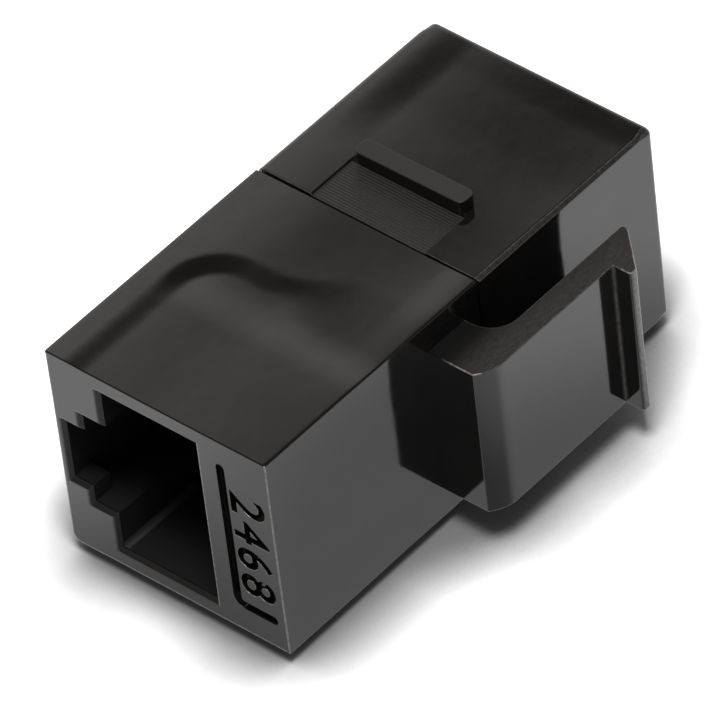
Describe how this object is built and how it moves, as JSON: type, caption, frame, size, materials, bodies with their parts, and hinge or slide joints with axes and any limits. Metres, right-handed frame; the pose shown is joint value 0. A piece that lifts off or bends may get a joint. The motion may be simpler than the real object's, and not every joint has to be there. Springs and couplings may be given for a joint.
{
  "type": "keystone jack",
  "caption": "Feed-through keystone jack: modular plug sockets back to back in a split moulded body, with a sprung latch on one side and a fixed lug on the other for a panel cut-out.",
  "frame": {"origin": "centre of the panel-side face", "axes": "+Y out of the panel towards the user, +X towards the spring latch, +Z towards one flank; it lies on its -Z flank"},
  "size_m": [0.0228, 0.0333, 0.016],
  "materials": {
    "housing": "glossy black ABS",
    "insulator": "satin black",
    "contact": "polished gold plating on phosphor bronze",
    "board": "green solder mask"
  },
  "bodies": {
    "housing": {"rear_housing": "housing", "front_housing": "housing", "circuit_board": "board", "rear_contact_block": "insulator", "front_contact_block": "insulator", "rear_contact_1": "contact", "rear_contact_2": "contact", "rear_contact_3": "contact", "rear_contact_4": "contact", "rear_contact_5": "contact", "rear_contact_6": "contact", "rear_contact_7": "contact", "rear_contact_8": "contact", "front_contact_1": "contact", "front_contact_2": "contact", "front_contact_3": "contact", "front_contact_4": "contact", "front_contact_5": "contact", "front_contact_6": "contact", "front_contact_7": "contact", "front_contact_8": "contact"},
    "latch": {"latch_arm": "housing"}
  },
  "joints": [
    {"name": "latch_press", "type": "hinge", "parent": "housing", "child": "latch", "pos_m": [0.01115, -0.0137, 0], "axis": [0, 0, 1], "range_deg": [0, 15], "stiffness_Nm_per_rad": 0.2}
  ]
}
